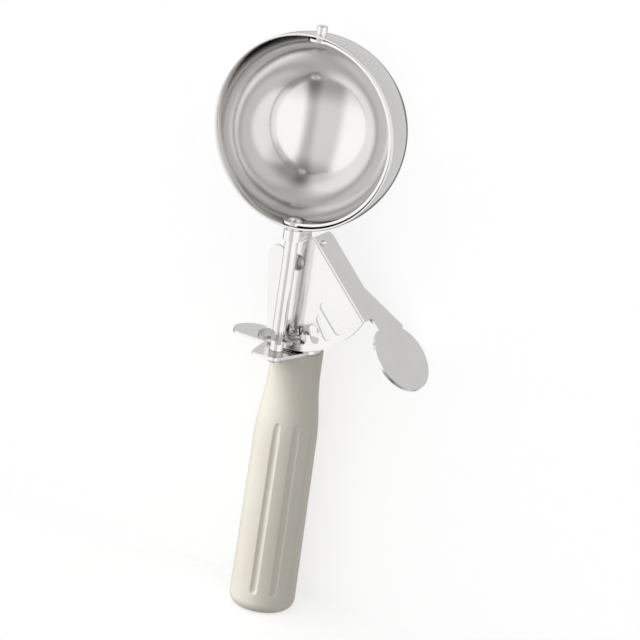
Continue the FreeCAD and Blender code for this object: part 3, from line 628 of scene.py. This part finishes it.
class SCOOP_OT_stage(bpy.types.Operator):
    """Set up the pale floor, the studio light and the camera"""
    bl_idname = "scoop.stage"
    bl_label = "Stage"

    def execute(self, context):
        scene = context.scene
        stage = scene.scoop_stage
        scene.view_settings.view_transform = "Standard"
        sheets = self.add_floor(stage)
        self.add_world(scene, stage)
        self.add_key(scene, stage, sheets)
        self.add_camera(scene, stage)
        return {"FINISHED"}

    def add_floor(self, stage):
        """A floor, and a close backdrop that only shows from its front."""
        behind = (0, CAD_BACK + stage.backdrop_gap, stage.floor_size / 2)
        sheets = []
        for name, lift, turn, place in (
                ("floor", stage.floor_lift, Matrix.Identity(3), (0, 0, 0)),
                ("backdrop", stage.backdrop_lift, QUARTER_TURN, behind)):
            shape = bmesh.new()
            bmesh.ops.create_grid(shape, x_segments=1, y_segments=1, size=stage.floor_size / 2)
            bmesh.ops.rotate(shape, verts=shape.verts, matrix=turn)
            bmesh.ops.translate(shape, verts=shape.verts, vec=place)
            material, graph = finish("pale_" + name)
            seen = graph.wire(graph.node("ShaderNodeLightPath"), "Is Camera Ray")
            back = graph.wire(graph.node("ShaderNodeNewGeometry"), "Backfacing")
            graph.surface(
                Base_Color=grey(FLOOR_COLOUR), Roughness=1.0, Specular_IOR_Level=0.0,
                Emission_Color=graph.blend(seen, grey(0.0), grey(lift)), Emission_Strength=1.0,
                Alpha=1.0 - back)
            sheet = add_piece(name, shape, material)
            sheet.visible_glossy = False
            sheets.append(sheet)
        return sheets

    def add_world(self, scene, stage):
        """White to the camera, and to the steel two light boxes with a dimmer gap between them."""
        world = bpy.data.worlds.new("studio")
        scene.world = world
        world.use_nodes = True
        graph = Graph(world.node_tree)
        x, y, z = graph.parts(graph.wire(graph.node("ShaderNodeTexCoord"), "Generated"))
        box = graph.ramp(sideways(x, y, stage.gap_azimuth), *BOX_FROM_TO)
        steep = graph.ramp(z, *ABOVE_FROM_TO) + graph.ramp(z, *BELOW_FROM_TO)
        stand = graph.ramp(sideways(x, y, stage.azimuth), *STAND_FROM_TO)
        front = stage.gap + (stage.box - stage.gap) * box - steep * stage.dark - stand * stage.post
        low_left = graph.ramp(x, *REAR_LEFT_FROM_TO) * graph.ramp(z, *REAR_LOW_FROM_TO)
        rear = stage.rear - low_left * stage.rear_dark
        behind = graph.ramp(y, *REAR_FROM_TO)
        mirrored = front * (1.0 - behind) + rear * behind
        path = graph.node("ShaderNodeLightPath")
        glossy = graph.wire(path, "Is Glossy Ray")
        camera = graph.wire(path, "Is Camera Ray")
        light = glossy * mirrored + (1.0 - glossy) * stage.ambient
        strength = camera + (1.0 - camera) * light
        shader = graph.node("ShaderNodeBackground", inputs={"Color": grey(1.0), "Strength": strength})
        graph.node("ShaderNodeOutputWorld", inputs={"Surface": graph.wire(shader)})

    def add_key(self, scene, stage, unlit_sheets):
        """A soft light on the left, that the steel doesn't mirror and the unlit sheets don't take."""
        data = bpy.data.lights.new("key", "AREA")
        data.shape = "RECTANGLE"
        data.size = KEY_WIDTH
        data.size_y = KEY_HEIGHT
        data.energy = stage.key
        light = bpy.data.objects.new("key", data)
        scene.collection.objects.link(light)
        light.visible_glossy = False
        light.visible_camera = False
        light.location = KEY_PLACE
        aim = Vector(stage.aim) - light.location
        light.rotation_mode = "QUATERNION"
        light.rotation_quaternion = aim.to_track_quat("-Z", "Y")
        unlit = bpy.data.collections.new("unlit_by_key")
        for sheet in unlit_sheets:
            unlit.objects.link(sheet)
        light.light_linking.receiver_collection = unlit
        for link in unlit.collection_objects:
            link.light_linking.link_state = "EXCLUDE"

    def add_camera(self, scene, stage):
        """A camera that sees the scoop as the photograph does."""
        data = bpy.data.cameras.new("camera")
        data.sensor_width = SENSOR_WIDTH
        data.lens = SENSOR_WIDTH * stage.lens
        camera = bpy.data.objects.new("camera", data)
        scene.collection.objects.link(camera)
        scene.camera = camera
        level = math.cos(stage.elevation)
        back = Vector((
            math.sin(stage.azimuth) * level, -math.cos(stage.azimuth) * level,
            math.sin(stage.elevation)))
        camera.location = Vector(stage.aim) + back * stage.distance
        camera.rotation_mode = "QUATERNION"
        roll = Matrix.Rotation(stage.roll, 3, "Z").to_quaternion()
        camera.rotation_quaternion = (-back).to_track_quat("-Z", "Y") @ roll


OPERATORS = (SCOOP_OT_bowl, SCOOP_OT_spring, SCOOP_OT_grip, SCOOP_OT_metalwork, SCOOP_OT_stage)


class SCOOP_PT_panel(bpy.types.Panel):
    """The scoop's operators and settings."""
    bl_idname = "SCOOP_PT_panel"
    bl_label = "Ice cream scoop"
    bl_space_type = "VIEW_3D"
    bl_region_type = "UI"
    bl_category = "Scoop"

    def draw(self, context):
        for group, settings in SETTINGS.items():
            box = self.layout.box()
            for name in settings.__annotations__:
                box.prop(getattr(context.scene, group), name)
        for operator in OPERATORS:
            self.layout.operator(operator.bl_idname)


def register():
    for group, settings in SETTINGS.items():
        bpy.utils.register_class(settings)
        setattr(bpy.types.Scene, group, PointerProperty(type=settings))
    for operator in OPERATORS:
        bpy.utils.register_class(operator)
    bpy.utils.register_class(SCOOP_PT_panel)


def unregister():
    bpy.utils.unregister_class(SCOOP_PT_panel)
    for operator in reversed(OPERATORS):
        bpy.utils.unregister_class(operator)
    for group, settings in SETTINGS.items():
        delattr(bpy.types.Scene, group)
        bpy.utils.unregister_class(settings)


def main():
    register()
    bpy.ops.scoop.bowl()
    bpy.ops.scoop.spring()
    bpy.ops.scoop.grip()
    bpy.ops.scoop.metalwork()
    bpy.ops.scoop.stage()


if __name__ == "__main__":
    main()
